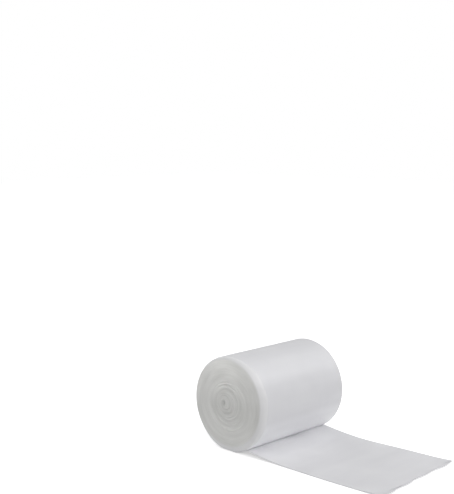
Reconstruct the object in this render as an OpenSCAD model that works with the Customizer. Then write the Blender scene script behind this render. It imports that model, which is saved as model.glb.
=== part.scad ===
// Coreless roll of bin bags: one continuous web of flattened, folded film, wound on itself,
// with its outer end drawn out from under the roll and lying on the floor.
// X is the way the loose end runs, Y is the axis of the roll, Z is up.
// The origin is the middle of the small flat that the roll rests on.

/* [Web] */
// Folded width of the web, which is also the length of the roll
web_w = 152; // [100:1:200]
// Thickness of the folded web as it lies, with the air between its plies
web_t = 0.8; // [0.6:0.1:1.4]

/* [Wound roll] */
// Diameter of the wound turns
roll_d = 116; // [90:1:150]
// Height that the soft roll loses where it rests
sag = 0.6; // [0.3:0.1:1.2]
// Radius of the soft outer rim at each end
rim_r = 4; // [2:0.5:6]
// Spacing of the seams that show on the ends, with a bundle of tight turns between two of them
seam_pitch = 4.4; // [3.6:0.2:7]
// Width of the seam's mouth between the rounded edges of two bundles
seam_w = 1; // [0.6:0.2:1.6]
// Depth of the seam into the end of the roll
seam_depth = 1.2; // [0.6:0.1:3]

/* [Eye] */
// Width of the pinched eye left by the winding mandrel
eye_w = 4; // [3:0.5:6]
// Height of the pinched eye
eye_h = 8; // [7:0.5:12]
// Distance that the eye has wandered from the axis, away from the loose end
eye_shift = 8.5; // [0:0.5:12]
// Radius inside which the turns crowd towards the eye
crowd_r = 29; // [24:1:40]

/* [Loose end] */
// Length of the loose end from the resting line to the furthest tie of the tear
loose_l = 232; // [180:2:320]
// Angle round the roll, from its bottom, up to which the web clings to it
cling_angle = 25; // [20:0.5:30]
// Length of the bend in which the web leaves the roll and turns down again
bend_l = 12; // [10:1:16]
// Height that the web still gains from where it leaves the roll to the end of the bend
bend_rise = 0.6; // [0:0.1:1.2]
// Distance from the resting line to where the web is down on the floor
hump_end = 112; // [80:2:150]
// Height of the curled-up end
curl_h = 2; // [0.4:0.2:4]
// Length of the curled-up end
curl_l = 42; // [20:2:60]

/* [Tear] */
// Spacing of the perforation ties along the tear
tie_pitch = 4; // [3:0.5:8]
// Length of the torn ties
tie_l = 0.9; // [0.4:0.1:1.5]
// Depth of the waves that the tear runs in
wave_h = 1.8; // [0.4:0.1:2.4]
// Distance that the tear runs askew, further out on the near side
tear_skew = 7; // [0:0.5:10]
// Distance that the upper leaf of the web is torn back from the lower one
setback = 1.8; // [1:0.2:4]

/* [Hidden] */

film_colour = [0.86, 0.86, 0.87];
roll_r = roll_d / 2;
axis_z = roll_r - sag;
flat_w = 2 * sqrt(roll_r * roll_r - axis_z * axis_z);
leaf_t = web_t / 2;
past = 1; // how far a cutter runs past the face that it cuts
turn_fn = 72;
rim_fn = 12;

// The web lies under the roll, clings to it as it rises, bends over and runs down to the floor.
tuck = web_t / 2; // how far the web lies inside the turns where it clings
bend_steps = 10;
root_steps = 3; // steps of the bend over which the web's upper side still lies against the turns
function turns_z(x) = axis_z - sqrt(roll_r * roll_r - x * x);
rise_x = sqrt(roll_r * roll_r - pow(axis_z - web_t + tuck, 2));
leave_x = roll_r * sin(cling_angle);
leave_h = turns_z(leave_x) - web_t + tuck;
hump_x = leave_x + bend_l;
hump_h = leave_h + bend_rise;
hump_slope = -2 * hump_h / (hump_end - hump_x);
root_x = leave_x + bend_l * root_steps / bend_steps;

// Seams: arcs of half a turn, each from one side of the roll to the other. A bundle gives up a share
// of the pitch on each side, and inside crowd_r it gives up more on the right, so the eye moves left.
// Steps are whole hundredths of a millimetre, so that each arc ends exactly where the next one starts.
outer_seam_r = axis_z - web_t - seam_w / 2;
inner_seam_r = eye_h / 2 + seam_w;
crowding = eye_shift / (2 * (crowd_r - inner_seam_r));
function side_step(r, way) = round(100 * seam_pitch * (0.5 + (r < crowd_r ? way * crowding : 0))) / 100;
// Each entry is [radius, centre x, whether the arc passes over the top].
seam_arcs = [
    for (r = outer_seam_r, x = 0, over = false;
         r > inner_seam_r;
         step = side_step(r, over ? -1 : 1),
         x = over ? x + step : x - step,
         r = r - step,
         over = !over)
    [r, x, over]
];
eye_x = seam_arcs[len(seam_arcs) - 1][1];

// Height of the underside of the web over the floor: up with the turns, over in a cubic bend, and down
// in a parabola that meets the floor flat
function bend_z(u) =
    leave_h * (1 + 2 * u) * pow(1 - u, 2) + bend_l * tan(cling_angle) * u * pow(1 - u, 2)
    + hump_h * u * u * (3 - 2 * u) + bend_l * hump_slope * u * u * (u - 1);
function web_z(x) =
    x < rise_x ? 0
    : x < leave_x ? turns_z(x) - web_t + tuck
    : x < hump_x ? bend_z((x - leave_x) / bend_l)
    : hump_h * pow(max(0, (hump_end - x) / (hump_end - hump_x)), 2)
      + curl_h * pow(max(0, (x - loose_l + curl_l) / curl_l), 2);

// Places along the web, closer together where it bends more: held against the turns up to root_x, then free
held_stations = concat(
    [-flat_w / 2],
    [for (i = [0:4]) rise_x + (leave_x - rise_x) * i / 5],
    [for (i = [0:root_steps - 1]) leave_x + bend_l * i / bend_steps]
);
free_stations = concat(
    [for (i = [root_steps:bend_steps - 1]) leave_x + bend_l * i / bend_steps],
    [for (i = [0:9]) hump_x + (hump_end - hump_x) * i / 9],
    [for (i = [0:5]) loose_l - curl_l + curl_l * i / 5],
    [loose_l + past]
);

// Edge of the tear, as [x, y] points across the web: slow waves with a torn tie at every pitch.
// near_x is where its near corner would be without them.
tear_reach = wave_h + tie_l;
tie_count = round(web_w / tie_pitch);
function wave_x(y, phase) = wave_h / 2 * (sin(9.5 * y + phase) + sin(3 * y + 2 * phase));
function tear_edge(near_x, phase) = [
    for (i = [0:2 * tie_count])
        let (across = i / (2 * tie_count), y = web_w * (across - 0.5))
        [near_x - tear_skew * across + wave_x(y, phase) + (i % 2 == 0 ? 0 : tie_l), y]
];

// Section of a seam as a cutter: a wedge with its point down, whose mouth is seam_w wide at seam_depth
module seam_section() {
    mouth = seam_w * (1 + past / seam_depth);
    polygon([[0, 0], [mouth / 2, seam_depth + past], [-mouth / 2, seam_depth + past]]);
}

// Arc of one seam, as a cutter with its point on z = 0
module seam_arc(r, x, over, sweep) {
    translate([x, 0, 0])
        rotate([0, 0, over ? 0 : 180])
            rotate_extrude(angle = sweep, $fn = turn_fn)
                translate([r, 0])
                    seam_section();
}

// All the seams of one end, from the loose end in to the eye, as a cutter
module seams() {
    // The outermost seam begins at the resting line, so it is a quarter turn.
    seam_arc(seam_arcs[0][0], 0, false, 90);
    for (i = [1:len(seam_arcs) - 1])
        seam_arc(seam_arcs[i][0], seam_arcs[i][1], seam_arcs[i][2], 180);
    // From the resting line it runs on along the web's upper side, out to where the web starts to rise.
    translate([0, -outer_seam_r, 0])
        rotate([90, 0, 90])
            linear_extrude(height = rise_x + 4 * seam_w)
                seam_section();
}

// The mandrel's hole, pinched to an upright slot through the whole roll
module eye() {
    straight = eye_h - eye_w;
    for (side = [-1, 1])
        translate([eye_x, side * straight / 2, 0])
            cylinder(d = eye_w, h = web_w + 2 * past, center = true, $fn = 48);
    translate([eye_x, 0, 0])
        cube([eye_w, straight, web_w + 2 * past], center = true);
}

// Section of the wound turns from their axis out, with a soft rim at each end
module turns_profile() {
    square_w = roll_r - rim_r;
    translate([0, -web_w / 2])
        square([square_w, web_w]);
    translate([0, -web_w / 2 + rim_r])
        square([roll_r, web_w - 2 * rim_r]);
    for (side = [-1, 1])
        translate([square_w, side * (web_w / 2 - rim_r)])
            circle(r = rim_r, $fn = rim_fn);
}

// The wound turns as one body, lying on the floor
module wound_turns() {
    difference() {
        translate([0, 0, axis_z])
            rotate([90, 0, 0])
                difference() {
                    rotate_extrude($fn = turn_fn)
                        turns_profile();
                    eye();
                    for (side = [0, 1])
                        mirror([0, 0, side])
                            translate([0, 0, web_w / 2 - seam_depth])
                                seams();
                }
        translate([-roll_r, -web_w, -roll_d])
            cube([roll_d, 2 * web_w, roll_d]);
    }
}

// The loose web as far as one leaf reaches: its side view drawn across the roll's length, cut to its
// outline from above. Up to root_x its upper side lies against the turns, and from there it is free.
module leaf(thick, near_x, phase) {
    start_half_w = web_w / 2 - rim_r;
    under = concat(held_stations, free_stations);
    over = concat(held_stations, [root_x]);
    intersection() {
        rotate([90, 0, 0])
            linear_extrude(height = web_w + 2 * past, center = true)
                polygon(concat(
                    [for (x = under) [x, web_z(x)]],
                    [for (i = [len(free_stations) - 1:-1:0])
                        [free_stations[i], web_z(free_stations[i]) + thick]],
                    [for (i = [len(over) - 1:-1:0]) [over[i], max(thick, turns_z(over[i]) + tuck)]]
                ));
        translate([0, 0, -past])
            linear_extrude(height = roll_r)
                polygon(concat(
                    [[flat_w / 2, web_w / 2], [-flat_w / 2, start_half_w],
                     [-flat_w / 2, -start_half_w], [flat_w / 2, -web_w / 2]],
                    tear_edge(near_x, phase)
                ));
    }
}

// The loose end: two leaves of folded film, torn off along the perforation in waves of their own
module loose_end() {
    leaf(leaf_t, loose_l - tear_reach, 306);
    leaf(web_t, loose_l - tear_reach - setback, 36);
}

module bag_roll() {
    color(film_colour) {
        wound_turns();
        loose_end();
    }
}

bag_roll();
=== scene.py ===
import math

import bmesh
import bpy
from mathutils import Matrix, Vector, noise


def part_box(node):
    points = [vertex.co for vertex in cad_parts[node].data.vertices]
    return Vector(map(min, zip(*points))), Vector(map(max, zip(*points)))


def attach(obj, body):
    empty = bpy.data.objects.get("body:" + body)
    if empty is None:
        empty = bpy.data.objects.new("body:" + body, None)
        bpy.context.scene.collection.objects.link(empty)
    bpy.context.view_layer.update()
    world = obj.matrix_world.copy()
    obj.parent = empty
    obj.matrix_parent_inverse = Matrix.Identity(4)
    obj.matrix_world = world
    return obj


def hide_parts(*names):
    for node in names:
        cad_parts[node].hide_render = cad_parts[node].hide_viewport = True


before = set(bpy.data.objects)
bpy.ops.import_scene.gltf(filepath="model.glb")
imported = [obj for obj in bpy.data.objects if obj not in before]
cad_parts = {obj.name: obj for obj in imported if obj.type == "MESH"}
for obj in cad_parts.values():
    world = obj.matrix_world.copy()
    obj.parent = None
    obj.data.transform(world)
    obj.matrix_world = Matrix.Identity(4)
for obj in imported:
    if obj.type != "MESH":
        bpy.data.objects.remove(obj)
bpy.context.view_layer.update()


# Wound turns: one web of flattened bags, folded in four and wound tight without a core.
# Each end shows the stacked edges of the web as one spiral of soft bundles, which runs in to the eye.
# The mandrel was drawn out, so the eye is open right through, pinched upright and off the axis.
roll_low, roll_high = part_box("bag_roll")
web_half = roll_high.y
web_t = 0.0008
solid_r = round(-roll_low.x, 3)
solid_axis_z = roll_high.z - solid_r
# The outer turns lie a little slack, so the roll is fuller than its solid, which rests at the same place.
fullness = 0.0012
roll_r = solid_r + fullness
axis_z = solid_axis_z + fullness

# The seam is a chain of half circles, under and over in turn. It starts two turns outside the roll, and
# inside crowd_r it steps in further on one side, so that the turns crowd towards the eye.
seam_pitch = 0.0044
seam_w = 0.001
turns_outside = 2
eye_h = 0.008
eye_shift = 0.0085
crowd_r = 0.029
innermost_r = eye_h / 2 + seam_w
crowd_share = eye_shift / (2 * (crowd_r - innermost_r))
seam_arcs = []
arc_r = solid_axis_z - web_t - seam_w / 2 + turns_outside * seam_pitch
arc_x = 0.0
arc_over = False
while arc_r > innermost_r:
    seam_arcs.append((arc_r, arc_x))
    crowding = crowd_share if arc_r < crowd_r else 0
    arc_step = round(seam_pitch * (0.5 + (-crowding if arc_over else crowding)), 5)
    arc_x += arc_step if arc_over else -arc_step
    arc_r -= arc_step
    arc_over = not arc_over
eye_x = seam_arcs[-1][1]
half_turns = len(seam_arcs)


def smooth(u):
    u = min(max(u, 0.0), 1.0)
    return u * u * (3 - 2 * u)


def turn_angle(half_turn):
    """Angle of a place along the web, which runs clockwise as seen from the near end."""
    lap = half_turn % 2
    return -math.pi * lap if lap < 1 else math.pi * (2 - lap)


# The eye narrows to a throat a little way in.
throat_w = 0.0009
throat_h = 0.0036
throat_depth = 0.0024
throat_pinch = 2.5


def eye_point(angle):
    """Point of the throat's edge: a small circle that is drawn apart to an upright slot."""
    lift = (throat_h - throat_w) / 2 * min(max(throat_pinch * math.sin(angle), -1), 1)
    return Vector((eye_x + throat_w / 2 * math.cos(angle), throat_w / 2 * math.sin(angle) + lift))


def closing(half_turn):
    """How far the web has closed in on the eye, which it does over its last turn."""
    return smooth((half_turn - (half_turns - 2)) / 2)


def seam_point(half_turn):
    """Point of the seam, about the roll's axis."""
    angle = turn_angle(half_turn)
    if half_turn >= half_turns:
        return eye_point(angle)
    radius, x = seam_arcs[int(half_turn)]
    point = Vector((x + radius * math.cos(angle), radius * math.sin(angle)))
    return point.lerp(eye_point(angle), closing(half_turn))


# Each bundle has four soft turns: where across the bundle its points lie, and how far each is sunk.
# Its first and last points are the bottoms of seams, whose depth comes from the radius instead.
turn_crowns = (0.10, 0.28, 0.0, 0.18)
turn_starts = (0.0, 0.27, 0.49, 0.77, 1.0)
groove_sunk = 0.42
shoulder_sunk = 0.10
shoulder = 0.22
bundle = []
for crown, start, end in zip(turn_crowns, turn_starts, turn_starts[1:]):
    width = end - start
    bundle.append((start, None if start == 0 else groove_sunk))
    bundle.append((start + shoulder * width, crown + shoulder_sunk))
    bundle.append((start + 0.5 * width, crown))
    bundle.append((start + (1 - shoulder) * width, crown + shoulder_sunk))
bundle.append((1.0, None))

# A few turns stand proud of the end over the top and the bottom, where the web ran loose, and a few are
# sunk: how many half turns in they lie, how much further in at the top, how wide they are and how proud.
loose_turns = (
    (1.9, 0.4, 0.40, 0.0004), (16.8, 1.2, 0.42, 0.0010), (18.1, 0.9, 0.30, -0.0004),
    (19.4, 0.7, 0.38, 0.0009), (21.4, 0.5, 0.34, -0.0004), (23.2, 0.2, 0.30, 0.0004),
)

# Seams are open near the eye and close up towards the outside, where the turns are tighter. How far a
# point is sunk is a share of relief, and it wanders across the end and from turn to turn.
relief = 0.001
closed_relief = 0.22
seam_sunk = 0.55
end_sunk = 0.6
closed_r = 0.036
opening_run = 0.024
wander_share = 0.35
wander_scale = 18
wander_by_turn = 0.9
wander_seed = 7
patch_mean = 1.25
patch_share = 1.4
patch_scale = 60
patch_seed = 5


def edge_depth(side, half_turn, place, sunk, point):
    """How far in along the roll a point of the end lies, apart from the rim."""
    rho = point.length
    openness = smooth((closed_r - rho) / opening_run)
    if sunk is None:
        sunk = seam_sunk + seam_sunk * openness
    turn_no = half_turn / 2 + place
    wander = noise.noise(Vector((
        point.x * wander_scale, point.y * wander_scale, turn_no * wander_by_turn + side * wander_seed,
    )))
    open_relief = closed_relief + (1 - closed_relief) * openness
    depth = (sunk * open_relief + wander_share * wander + end_sunk) * relief
    patch = noise.noise(Vector((point.x * patch_scale, point.y * patch_scale, side * patch_seed)))
    patchy = patch_mean + patch_share * patch
    upright = point.y / max(rho, 0.001)
    for turns_in, askew, spread, proud in loose_turns:
        off = (half_turn + 2 * place - turns_in - askew * upright) / spread
        depth -= proud * math.exp(-off * off) * upright ** 4 * patchy
    at_eye = closing(half_turn) * (1 - place ** 4) + closing(half_turn + 2) * place ** 4
    return depth + (throat_depth - depth) * at_eye


# Each end has a soft rim. At the near end it is slackest on the side of the loose end, a little over
# level: there it grows across the end and along the roll. Where the roll rests, it is squared off.
rim_r = 0.004
far_rim_r = 0.001
slack_rim_w = 0.009
slack_rim_d = 0.0045
slackest = math.radians(25)
squaring = 0.65
squaring_start = 0.6
slack_bluntness = 0.4


def rim_at(side, angle):
    """Width of the rim across the end, its depth along the roll, and how slack it is."""
    free_rim = far_rim_r if side > 0 else rim_r
    slack = max(0.0, math.cos(angle - slackest)) ** 2 if side < 0 else 0.0
    low_down = smooth((-math.sin(angle) - squaring_start) / (1 - squaring_start))
    squared = 1 - squaring * low_down
    return (free_rim + slack_rim_w * slack) * squared, (free_rim + slack_rim_d * slack) * squared, slack


steps_per_half = 64
side_cuts = 26
weld = 0.00001


def wind_end(side):
    """One end of the roll: a long strip of the web's edges, wound up into its spiral."""
    along = half_turns * steps_per_half
    across = len(bundle) - 1
    bpy.ops.object.select_all(action="DESELECT")
    bpy.ops.mesh.primitive_grid_add(x_subdivisions=along, y_subdivisions=across, size=1)
    end = bpy.context.object
    outside = []
    for v in end.data.vertices:
        step = round((v.co.x + 0.5) * along)
        place, sunk = bundle[round((v.co.y + 0.5) * across)]
        half_turn = step / steps_per_half
        angle = turn_angle(half_turn)
        point = seam_point(half_turn).lerp(seam_point(half_turn + 2), place)
        depth = edge_depth(side, half_turn, place, sunk, point)
        rim_w, rim_d, slack = rim_at(side, angle)
        rim_u = (point.length - (roll_r - rim_w)) / rim_w
        if rim_u >= 1:
            # What lies past the roll is drawn in to its rim.
            outside.append(v.index)
            point = Vector((roll_r * math.cos(angle), roll_r * math.sin(angle)))
            depth = rim_d
        elif rim_u > 0:
            bluntness = 2 - slack_bluntness * slack
            turned_back = 1 - (1 - rim_u ** bluntness) ** (1 / bluntness)
            depth = depth * (1 - rim_u) + rim_d * turned_back
        v.co = (point.x, side * (web_half - depth), axis_z + point.y)
    bpy.ops.object.mode_set(mode="EDIT")
    strip = bmesh.from_edit_mesh(end.data)
    strip.verts.ensure_lookup_table()
    bpy.ops.mesh.select_all(action="DESELECT")
    rim_points = {strip.verts[i] for i in outside}
    for f in strip.faces:
        f.select = all(v in rim_points for v in f.verts)
    bpy.ops.mesh.delete(type="FACE")
    bpy.ops.mesh.select_all(action="SELECT")
    bpy.ops.mesh.remove_doubles(threshold=weld)
    # The outside and the eye's wall are drawn on from their two rims to the middle of the roll.
    bpy.ops.mesh.select_all(action="DESELECT")
    bpy.ops.mesh.select_non_manifold(
        extend=False, use_wire=False, use_boundary=True, use_multi_face=False,
        use_non_contiguous=False, use_verts=False,
    )
    for cuts_left in range(side_cuts, 0, -1):
        bpy.ops.mesh.extrude_region_move()
        bpy.ops.transform.resize(value=(1, (cuts_left - 1) / cuts_left, 1), center_override=(0, 0, 0))
    bpy.ops.object.mode_set(mode="OBJECT")
    return end


near_end = wind_end(-1)
far_end = wind_end(1)
bpy.ops.object.select_all(action="DESELECT")
far_end.select_set(True)
near_end.select_set(True)
bpy.context.view_layer.objects.active = near_end
bpy.ops.object.join()
wound_turns = near_end
wound_turns.name = "wound_turns"
bpy.ops.object.mode_set(mode="EDIT")
bpy.ops.mesh.select_all(action="SELECT")
bpy.ops.mesh.remove_doubles(threshold=weld)
bpy.ops.object.mode_set(mode="OBJECT")

# The roll settles on a small flat with a soft edge, and the tight film of its outside has slow, shallow
# waves, with fine ones across them.
flat_z = 0.0001
flat_soft = 0.00008
slow_swell = 0.00022
slow_scale = Vector((16, 14, 16))
fine_swell = 0.00008
fine_scale = Vector((9, 160, 9))
for v in wound_turns.data.vertices:
    x, y, z = v.co.x, v.co.y, v.co.z - axis_z
    rho = math.hypot(x, z)
    outer = smooth((rho - (roll_r - rim_r)) / rim_r)
    swell = slow_swell * noise.noise(Vector((x, y, z)) * slow_scale)
    swell += fine_swell * noise.noise(Vector((x, y, z)) * fine_scale)
    grow = 1 + outer * swell / roll_r
    height = axis_z + z * grow - flat_z
    settled = flat_z + (height + math.hypot(height, 2 * flat_soft)) / 2
    v.co = (x * grow, y, settled)

bpy.ops.object.select_all(action="DESELECT")
wound_turns.select_set(True)
bpy.context.view_layer.objects.active = wound_turns
bpy.ops.object.mode_set(mode="EDIT")
bpy.ops.mesh.select_all(action="SELECT")
bpy.ops.mesh.normals_make_consistent(inside=False)
bpy.ops.object.mode_set(mode="OBJECT")
bpy.ops.object.shade_smooth()


def feed(tree, socket, term):
    """Gives a node's socket its term, which is another node's output or a plain value."""
    if isinstance(term, bpy.types.NodeSocket):
        tree.links.new(term, socket)
    else:
        socket.default_value = term


def work_out(tree, operation, *terms):
    """A sum on the numbers that shade a finish."""
    node = tree.nodes.new("ShaderNodeMath")
    node.operation = operation
    for socket, term in zip(node.inputs, terms):
        feed(tree, socket, term)
    return node.outputs[0]


def work_out_place(tree, operation, *terms):
    """A sum on places or colours. Its node has an output for a vector and one for a number."""
    node = tree.nodes.new("ShaderNodeVectorMath")
    node.operation = operation
    for socket, term in zip(node.inputs, terms):
        feed(tree, socket, term)
    return node.outputs


def scale_tone(tree, colour, share):
    """A colour made darker or lighter by a share."""
    node = tree.nodes.new("ShaderNodeVectorMath")
    node.operation = "SCALE"
    feed(tree, node.inputs[0], colour)
    feed(tree, node.inputs["Scale"], share)
    return node.outputs["Vector"]


def split_place(tree, place):
    node = tree.nodes.new("ShaderNodeSeparateXYZ")
    feed(tree, node.inputs["Vector"], place)
    return node.outputs


def spread_range(tree, value, span, new_span=(0, 1), interpolation="LINEAR"):
    """Spreads a value's span over a new one, and holds it at the ends."""
    node = tree.nodes.new("ShaderNodeMapRange")
    node.interpolation_type = interpolation
    feed(tree, node.inputs["Value"], value)
    node.inputs["From Min"].default_value, node.inputs["From Max"].default_value = span
    node.inputs["To Min"].default_value, node.inputs["To Max"].default_value = new_span
    return node.outputs["Result"]


def tone_ramp(tree, share, interpolation, stops):
    """Pale greys along a ramp: each stop is its place, its tone and the tone of its blue."""
    node = tree.nodes.new("ShaderNodeValToRGB")
    node.color_ramp.interpolation = interpolation
    elements = node.color_ramp.elements
    elements[0].position = stops[0][0]
    elements[1].position = stops[-1][0]
    for stop in stops[1:-1]:
        elements.new(stop[0])
    for element, (place, tone, blue) in zip(elements, stops):
        element.color = (tone, tone, blue, 1)
    feed(tree, node.inputs["Fac"], share)
    return node.outputs["Color"]


def mix_tones(tree, share, first, second, blend):
    """Two colours made one: mixed, or the first toned by the second."""
    node = tree.nodes.new("ShaderNodeMix")
    node.data_type = "RGBA"
    node.blend_type = blend
    feed(tree, node.inputs["Factor"], share)
    feed(tree, node.inputs["A"], first)
    feed(tree, node.inputs["B"], second)
    return node.outputs["Result"]


def film_noise(tree, place, fineness, detail, roughness):
    """Soft noise, whose patches are longest the way that it is least fine."""
    scaling = tree.nodes.new("ShaderNodeMapping")
    scaling.inputs["Scale"].default_value = fineness
    feed(tree, scaling.inputs["Vector"], place)
    texture = tree.nodes.new("ShaderNodeTexNoise")
    texture.inputs["Scale"].default_value = 1.0
    texture.inputs["Detail"].default_value = detail
    texture.inputs["Roughness"].default_value = roughness
    feed(tree, texture.inputs["Vector"], scaling.outputs["Vector"])
    return texture.outputs["Fac"]


def emboss(tree, height, strength, distance):
    """Fine relief of a finish. It gives the node, so that another relief can be laid under it."""
    node = tree.nodes.new("ShaderNodeBump")
    node.inputs["Strength"].default_value = strength
    node.inputs["Distance"].default_value = distance
    feed(tree, node.inputs["Height"], height)
    return node


# Milky film: pale grey-white polyethylene with a dull shine. It has fine lines the way the web runs,
# and soft bands and clouds across it where the plies under it lie looser or tighter.
film = bpy.data.materials.new("milky_film")
film.use_nodes = True
tree = film.node_tree
film_shader = tree.nodes["Principled BSDF"]
film_place = tree.nodes.new("ShaderNodeTexCoord").outputs["Object"]
lines = film_noise(tree, film_place, (5, 520, 5), detail=3.0, roughness=0.6)
bands = film_noise(tree, film_place, (42, 5, 42), detail=2.0, roughness=0.45)
clouds = film_noise(tree, film_place, (19, 19, 19), detail=4.0, roughness=0.5)
milk = work_out(tree, "MULTIPLY", work_out(tree, "ADD", bands, clouds), 0.5)
film_colour = tone_ramp(tree, milk, "LINEAR", ((0.30, 0.785, 0.802), (0.72, 0.87, 0.88)))

# Painted light and shade by height, on the roll and on the loose end alike: whitest low down, most of all
# just over the crease where the roll meets the loose end, and on top, and a long greyer band of painted
# shade runs along the side between, with an edge that strays a little.
stray = 0.05
up_the_side = spread_range(tree, split_place(tree, film_place)["Z"], (0, 2 * roll_r))
strayed = work_out(tree, "MULTIPLY_ADD", clouds, stray, up_the_side)
side_painted_light_and_shade = tone_ramp(tree, strayed, "EASE", (
    (0.03, 0.85, 0.86), (0.07, 0.89, 0.90), (0.095, 1.08, 1.09), (0.14, 0.96, 0.97), (0.31, 0.835, 0.845),
    (0.42, 0.725, 0.735), (0.57, 0.68, 0.69), (0.71, 0.725, 0.735), (0.86, 0.81, 0.82),
))
# The film's colour with its painted light and shade laid on.
film_with_painted_light = mix_tones(tree, 1.0, film_colour, side_painted_light_and_shade, "MULTIPLY")
feed(tree, film_shader.inputs["Base Color"], film_with_painted_light)
feed(tree, film_shader.inputs["Roughness"], spread_range(tree, clouds, (0, 1), (0.36, 0.56)))
film_shader.inputs["IOR"].default_value = 1.5
line_bump = emboss(tree, lines, strength=0.25, distance=0.0002)
band_bump = emboss(tree, bands, strength=0.5, distance=0.0012)
feed(tree, band_bump.inputs["Normal"], line_bump.outputs["Normal"])
feed(tree, film_shader.inputs["Normal"], band_bump.outputs["Normal"])

# Stacked edges: the same film seen edge on, so it is greyer and duller, ringed with thousands of plies.
# The strip's own map gives the place across the bundles, and the rings run on from turn to turn.
edges = bpy.data.materials.new("stacked_edges")
edges.use_nodes = True
tree = edges.node_tree
edge_shader = tree.nodes["Principled BSDF"]
strip_map = tree.nodes.new("ShaderNodeUVMap")
strip_map.uv_map = "UVMap"
edge_place = tree.nodes.new("ShaderNodeTexCoord").outputs["Object"]
on_strip = split_place(tree, strip_map.outputs["UV"])
on_roll = split_place(tree, edge_place)
ring_place = tree.nodes.new("ShaderNodeCombineXYZ")
feed(tree, ring_place.inputs["X"], on_roll["X"])
feed(tree, ring_place.inputs["Y"], on_roll["Z"])
turn_count = work_out(tree, "MULTIPLY_ADD", on_strip["X"], half_turns / 2, on_strip["Y"])
feed(tree, ring_place.inputs["Z"], turn_count)
rings = film_noise(tree, ring_place.outputs["Vector"], (26, 26, 11), detail=4.0, roughness=0.65)
patches = film_noise(tree, ring_place.outputs["Vector"], (30, 30, 0.7), detail=2.0, roughness=0.5)
ring_part = 0.55
patch_part = work_out(tree, "MULTIPLY", patches, 1 - ring_part)
edge_mix = work_out(tree, "MULTIPLY_ADD", rings, ring_part, patch_part)
edge_colour = tone_ramp(tree, edge_mix, "LINEAR", ((0.30, 0.685, 0.667), (0.70, 0.865, 0.847)))

# Painted light and shade by height on the end: greyest a little under the middle, and whiter towards the
# top.
up_the_end = spread_range(tree, on_roll["Z"], (0, 2 * roll_r))
end_painted_light_and_shade = tone_ramp(tree, up_the_end, "EASE", (
    (0.10, 0.87, 0.87), (0.45, 0.80, 0.80), (0.66, 0.89, 0.89), (0.90, 1, 1),
))
# The stacked edges' colour with the painted light and shade laid on.
edges_with_painted_light = mix_tones(tree, 1.0, edge_colour, end_painted_light_and_shade, "MULTIPLY")

# Painted highlight on the edges that stand out, and painted shade on those that lie deep between their
# neighbours. Painted shade darkens the end towards the loose end's side, most of all before the slackest
# of the rim.
deep_edge = 0.0016
sideways_fade = (0.005, 0.045)
greyest_fade = (0.028, 0.048)
greyest = math.radians(35)
greyest_way = (math.cos(greyest), 0, math.sin(greyest))
rim_middle = (-0.004, 0, axis_z + 0.001)
out_from_middle = work_out(tree, "ABSOLUTE", on_roll["Y"])
proud_highlight_and_deep_shade = spread_range(tree, out_from_middle, (web_half - deep_edge, web_half), (0.88, 1.07))
# Painted shade towards the loose end's side and before the slackest of the rim.
sideways_painted_shade = spread_range(tree, on_roll["X"], sideways_fade, (1.0, 0.93))
from_middle = work_out_place(tree, "SUBTRACT", edge_place, rim_middle)["Vector"]
towards_greyest = work_out_place(tree, "DOT_PRODUCT", from_middle, greyest_way)["Value"]
rim_side_painted_shade = spread_range(tree, towards_greyest, greyest_fade, (1.0, 0.93))
loose_side_painted_shade = work_out(tree, "MULTIPLY", sideways_painted_shade, rim_side_painted_shade)
# The stack's colour with its painted highlight and shade laid on.
stack_colour_with_painted_light = scale_tone(tree, edges_with_painted_light, work_out(tree, "MULTIPLY", proud_highlight_and_deep_shade, loose_side_painted_shade))

# Over the soft rim the edges pass into the film of the roll's outside. Its colour there has painted light
# by height, lighter low down and most of all over the upper rim, a painted highlight, which is damped
# again where the rim has turned back along the roll.
rim_fade = (roll_r - 1.75 * rim_r, roll_r - 0.75 * rim_r)
turned_fade = (web_half - 0.0075, web_half - 0.004)
across_end = work_out_place(tree, "MULTIPLY", from_middle, (1, 0, 1))["Vector"]
rim_distance = work_out_place(tree, "LENGTH", across_end)["Value"]
rim_share = spread_range(tree, rim_distance, rim_fade, interpolation="SMOOTHSTEP")
rim_painted_light = tone_ramp(tree, up_the_end, "EASE", (
    (0.05, 0.74, 0.75), (0.20, 0.655, 0.665), (0.35, 0.65, 0.66), (0.50, 0.65, 0.66),
    (0.62, 0.67, 0.68), (0.70, 0.71, 0.72), (0.80, 0.785, 0.795), (0.90, 0.77, 0.78),
))
turned_rim_painted_shade = spread_range(tree, out_from_middle, turned_fade, (0.92, 1.0))
# The rim's painted highlight, damped where the rim has turned back.
rim_colour_with_painted_light = scale_tone(tree, rim_painted_light, turned_rim_painted_shade)
feed(tree, edge_shader.inputs["Base Color"], mix_tones(tree, rim_share, stack_colour_with_painted_light, rim_colour_with_painted_light, "MIX"))
edge_shader.inputs["Roughness"].default_value = 0.62
edge_shader.inputs["Subsurface Weight"].default_value = 0.25
edge_shader.inputs["Subsurface Radius"].default_value = (1, 1, 1)
edge_shader.inputs["Subsurface Scale"].default_value = 0.003
ring_bump = emboss(tree, rings, strength=0.45, distance=0.0003)
feed(tree, edge_shader.inputs["Normal"], ring_bump.outputs["Normal"])

wound_turns.data.materials.clear()
wound_turns.data.materials.append(film)
wound_turns.data.materials.append(edges)
end_y = web_half - rim_r - slack_rim_d
end_r = roll_r - 0.1 * rim_r
for p in wound_turns.data.polygons:
    rho = math.hypot(p.center.x, p.center.z - axis_z)
    on_end = abs(p.center.y) > end_y and rho < end_r
    p.material_index = 1 if on_end else 0

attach(wound_turns, "root")
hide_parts("bag_roll")


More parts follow.
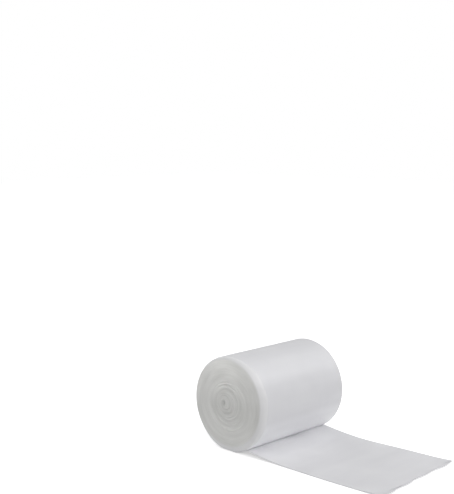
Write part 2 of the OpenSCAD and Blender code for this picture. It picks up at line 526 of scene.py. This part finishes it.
# Loose end: the same web, drawn out from under the roll and torn off along a perforation.
# It is a flat tube 61 cm wide, folded in four to the width of the roll, and it lies on the floor.
# Its leaves were torn together, so each ends in its own wavy line of broken ties.
web_w = 2 * web_half
loose_l = 0.232
cling_angle = math.radians(25)
bend_l = 0.012
bend_rise = 0.0006
hump_end = 0.112
curl_h = 0.002
curl_l = 0.042
tie_pitch = 0.004
tie_l = 0.0009
wave_h = 0.0018
tear_skew = 0.007
leaf_count = 4
leaf_pitch = web_t / leaf_count
leaf_setback = (0.0, 0.0007, 0.0018, 0.0026)
leaf_phase = (306, 350, 36, 80)
fold_margin = (0.0002, 0.0006, 0.0, 0.0004, 0.0003)
fold_reach = (0.0001, 0.0003, 0.0007)
leaf_slip = 0.0022
slip_start = 0.08
slip_run = 0.09
ply_t = 0.00013
flat_start = -math.sqrt(roll_r ** 2 - axis_z ** 2)
flat_w = -2 * flat_start
tuck = 0.9 * web_t
rise_x = math.sqrt(roll_r ** 2 - (axis_z - web_t + tuck) ** 2)
leave_x = roll_r * math.sin(cling_angle)
leave_h = axis_z - roll_r * math.cos(cling_angle) - web_t + tuck
hump_x = leave_x + bend_l
hump_h = leave_h + bend_rise
hump_slope = -2 * hump_h / (hump_end - hump_x)


def web_z(x):
    """Height of the underside of the web: up with the turns, over in a bend, and down to the floor."""
    if x < rise_x:
        return 0.0
    if x < leave_x:
        return axis_z - math.sqrt(roll_r ** 2 - x ** 2) - web_t + tuck
    if x < hump_x:
        u = (x - leave_x) / bend_l
        ends = leave_h * (1 + 2 * u) * (1 - u) ** 2 + hump_h * u * u * (3 - 2 * u)
        return ends + bend_l * (math.tan(cling_angle) * u * (1 - u) ** 2 + hump_slope * u * u * (u - 1))
    down = max(0.0, (hump_end - x) / (hump_end - hump_x))
    curl = max(0.0, (x - loose_l + curl_l) / curl_l)
    return hump_h * down ** 2 + curl_h * curl ** 2


# How far the two waves of the tear run on, in degrees for each metre across the web
short_wave = 9500
long_wave = 3000


def tear_x(y, leaf, tie):
    """Where a leaf ends: on the slanting tear, with a short and a long wave, and further out at a tie."""
    phase = leaf_phase[leaf]
    wave = math.sin(math.radians(short_wave * y + phase))
    wave += math.sin(math.radians(long_wave * y + 2 * phase))
    skew = tear_skew * (y / web_w + 0.5)
    end = loose_l - wave_h - tie_l - leaf_setback[leaf] - skew + wave_h / 2 * wave
    return end + tie_l if tie else end


# Places along the web, closer together where it bends, and from the last of them on as shares to the tear
cling_steps, bend_steps, hump_steps, flat_steps, curl_steps = 8, 20, 22, 12, 24
along_places = [flat_start, flat_start / 2, 0.0, rise_x / 2]
along_places += [rise_x + (leave_x - rise_x) * i / cling_steps for i in range(cling_steps)]
along_places += [leave_x + bend_l * i / bend_steps for i in range(bend_steps)]
along_places += [hump_x + (hump_end - hump_x) * i / hump_steps for i in range(hump_steps)]
flat_l = loose_l - curl_l - hump_end
along_places += [hump_end + flat_l * i / flat_steps for i in range(flat_steps + 1)]
curl_x = along_places[-1]
curl_shares = [i / curl_steps for i in range(1, curl_steps + 1)]
along_count = len(along_places) + len(curl_shares) - 1

# Places across one leaf, from one fold to the next: close together at the folds, then every half tie
half_ties = 2 * round(web_w / tie_pitch)
leaf_places = [0.0, *fold_reach]
leaf_places += [web_w * i / half_ties for i in range(1, half_ties)]
leaf_places += [web_w - d for d in reversed(fold_reach)]
across_places = [(leaf, s) for leaf in range(leaf_count) for s in leaf_places]
across_places.append((leaf_count - 1, web_w))
across_count = len(across_places) - 1

bpy.ops.object.select_all(action="DESELECT")
bpy.ops.mesh.primitive_grid_add(x_subdivisions=along_count, y_subdivisions=across_count, size=1)
loose_end = bpy.context.object
loose_end.name = "loose_end"
for v in loose_end.data.vertices:
    row = round((v.co.x + 0.5) * along_count)
    leaf, s = across_places[round((v.co.y + 0.5) * across_count)]
    # A leaf runs from one fold to the next, the even ones away from the near edge and the odd ones back.
    away = leaf % 2 == 0
    share = s / web_w
    inset = fold_margin[leaf] * (1 - share) - fold_margin[leaf + 1] * share
    y = (s + inset if away else web_w - s - inset) - web_half
    tie = round(share * half_ties) % 2 == 1
    if row < len(along_places):
        x = along_places[row]
    else:
        x = curl_x + (tear_x(y, leaf, tie) - curl_x) * curl_shares[row - len(along_places)]
    # At a fold the leaf rolls over halfway up to the next one.
    fold_s = min(s, web_w - s)
    first_half = s < web_w / 2
    outermost = leaf == 0 if first_half else leaf == leaf_count - 1
    fold_lift = 0.0
    if fold_s < fold_reach[-1] and not outermost:
        fold_lift = leaf_pitch / 2 * (1 - math.sqrt(1 - (1 - fold_s / fold_reach[-1]) ** 2))
    z = web_z(x) + (leaf + 0.5) * leaf_pitch + (-fold_lift if first_half else fold_lift)
    # Under the roll the web is drawn in to the rims, and off it the folded leaves slip apart a little.
    drawn_in = rim_r * (1 - smooth((x - flat_start) / flat_w))
    slipped = leaf_slip * smooth((x - slip_start) / slip_run)
    y *= (web_half - drawn_in + slipped) / web_half
    v.co = (x, y, z)

ply = loose_end.modifiers.new("ply", "SOLIDIFY")
ply.thickness = ply_t
ply.offset = 0
bpy.ops.object.modifier_apply(modifier="ply")
bpy.ops.object.shade_smooth_by_angle(angle=math.radians(40))
loose_end.data.materials.clear()
loose_end.data.materials.append(film)
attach(loose_end, "root")
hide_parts("bag_roll")


# Floor: a plain white studio floor. It shows white to the camera, more so away from the roll, where it
# is past the lamps, and round the roll it keeps the soft shadow.
bpy.ops.object.select_all(action="DESELECT")
bpy.ops.mesh.primitive_plane_add(size=12)
floor = bpy.context.object
floor.name = "floor"
floor_paint = bpy.data.materials.new("white_floor")
floor_paint.use_nodes = True
tree = floor_paint.node_tree
floor_shader = tree.nodes["Principled BSDF"]
floor_shader.inputs["Base Color"].default_value = (0.88, 0.88, 0.88, 1)
floor_shader.inputs["Roughness"].default_value = 0.9
floor_place = tree.nodes.new("ShaderNodeTexCoord").outputs["Object"]
glow_span = (0.35, 1.6)
glow_strength = (0.44, 0.62)
from_roll = work_out_place(tree, "LENGTH", floor_place)["Value"]
glow = tree.nodes.new("ShaderNodeEmission")
glow_level = spread_range(tree, from_roll, glow_span, glow_strength, interpolation="SMOOTHSTEP")
feed(tree, glow.inputs["Strength"], glow_level)
lit_floor = tree.nodes.new("ShaderNodeAddShader")
feed(tree, lit_floor.inputs[0], floor_shader.outputs[0])
feed(tree, lit_floor.inputs[1], glow.outputs[0])
ray = tree.nodes.new("ShaderNodeLightPath").outputs
seen = work_out(tree, "MAXIMUM", ray["Is Camera Ray"], ray["Is Glossy Ray"])
seen = work_out(tree, "MAXIMUM", seen, ray["Is Transmission Ray"])
shown_floor = tree.nodes.new("ShaderNodeMixShader")
feed(tree, shown_floor.inputs[0], seen)
feed(tree, shown_floor.inputs[1], floor_shader.outputs[0])
feed(tree, shown_floor.inputs[2], lit_floor.outputs[0])
feed(tree, tree.nodes["Material Output"].inputs["Surface"], shown_floor.outputs[0])
floor.data.materials.append(floor_paint)

# Light: an even white room, which the camera sees as plain white, a wide soft lamp above and to the
# right, and three weak ones: low down to the right, in front of the near end, and behind on the left.
world = bpy.data.worlds.new("white_room")
bpy.context.scene.world = world
world.use_nodes = True
tree = world.node_tree
room = tree.nodes["Background"]
room.inputs["Color"].default_value = (1, 1, 1, 1)
room.inputs["Strength"].default_value = 0.44
white_wall = tree.nodes.new("ShaderNodeBackground")
white_wall.inputs["Color"].default_value = (1, 1, 1, 1)
white_wall.inputs["Strength"].default_value = 1.0
shown_room = tree.nodes.new("ShaderNodeMixShader")
feed(tree, shown_room.inputs[0], tree.nodes.new("ShaderNodeLightPath").outputs["Is Camera Ray"])
feed(tree, shown_room.inputs[1], room.outputs[0])
feed(tree, shown_room.inputs[2], white_wall.outputs[0])
feed(tree, tree.nodes["World Output"].inputs["Surface"], shown_room.outputs[0])

lamp_aim = Vector((0.05, 0, 0.05))
for lamp_place, lamp_size, lamp_power in (
    (Vector((0.7, 0.4, 1.5)), 1.4, 11.6),
    (Vector((1.45, -0.2, 0.42)), 0.5, 5.5),
    (Vector((-0.3, -1.3, 1.2)), 1.0, 4.5),
    (Vector((-1.4, 0.35, 0.6)), 1.0, 6),
):
    bpy.ops.object.light_add(type="AREA", location=lamp_place)
    lamp = bpy.context.object
    lamp.data.size = lamp_size
    lamp.data.energy = lamp_power
    lamp.rotation_euler = (lamp_place - lamp_aim).to_track_quat("Z", "Y").to_euler()

# Camera: held level, a little above the roll and to the right of its near end, as for the photograph.
# Its focal length was fitted in pixels of the photograph.
camera_azimuth = math.radians(43.65)
camera_elevation = math.radians(6.52)
camera_place = Vector((0.8242, -0.9431, 0.3898))
focal_pixels = 999.1
photo_pixels_high = 494
sensor_mm = 36
bpy.ops.object.camera_add(location=camera_place)
camera = bpy.context.object
camera.data.sensor_width = sensor_mm
camera.data.lens = focal_pixels * sensor_mm / photo_pixels_high
camera.data.clip_end = 60
back = Vector((
    math.sin(camera_azimuth) * math.cos(camera_elevation),
    -math.cos(camera_azimuth) * math.cos(camera_elevation),
    math.sin(camera_elevation),
))
camera.rotation_euler = back.to_track_quat("Z", "Y").to_euler()
bpy.context.scene.camera = camera
bpy.context.scene.view_settings.view_transform = "Standard"
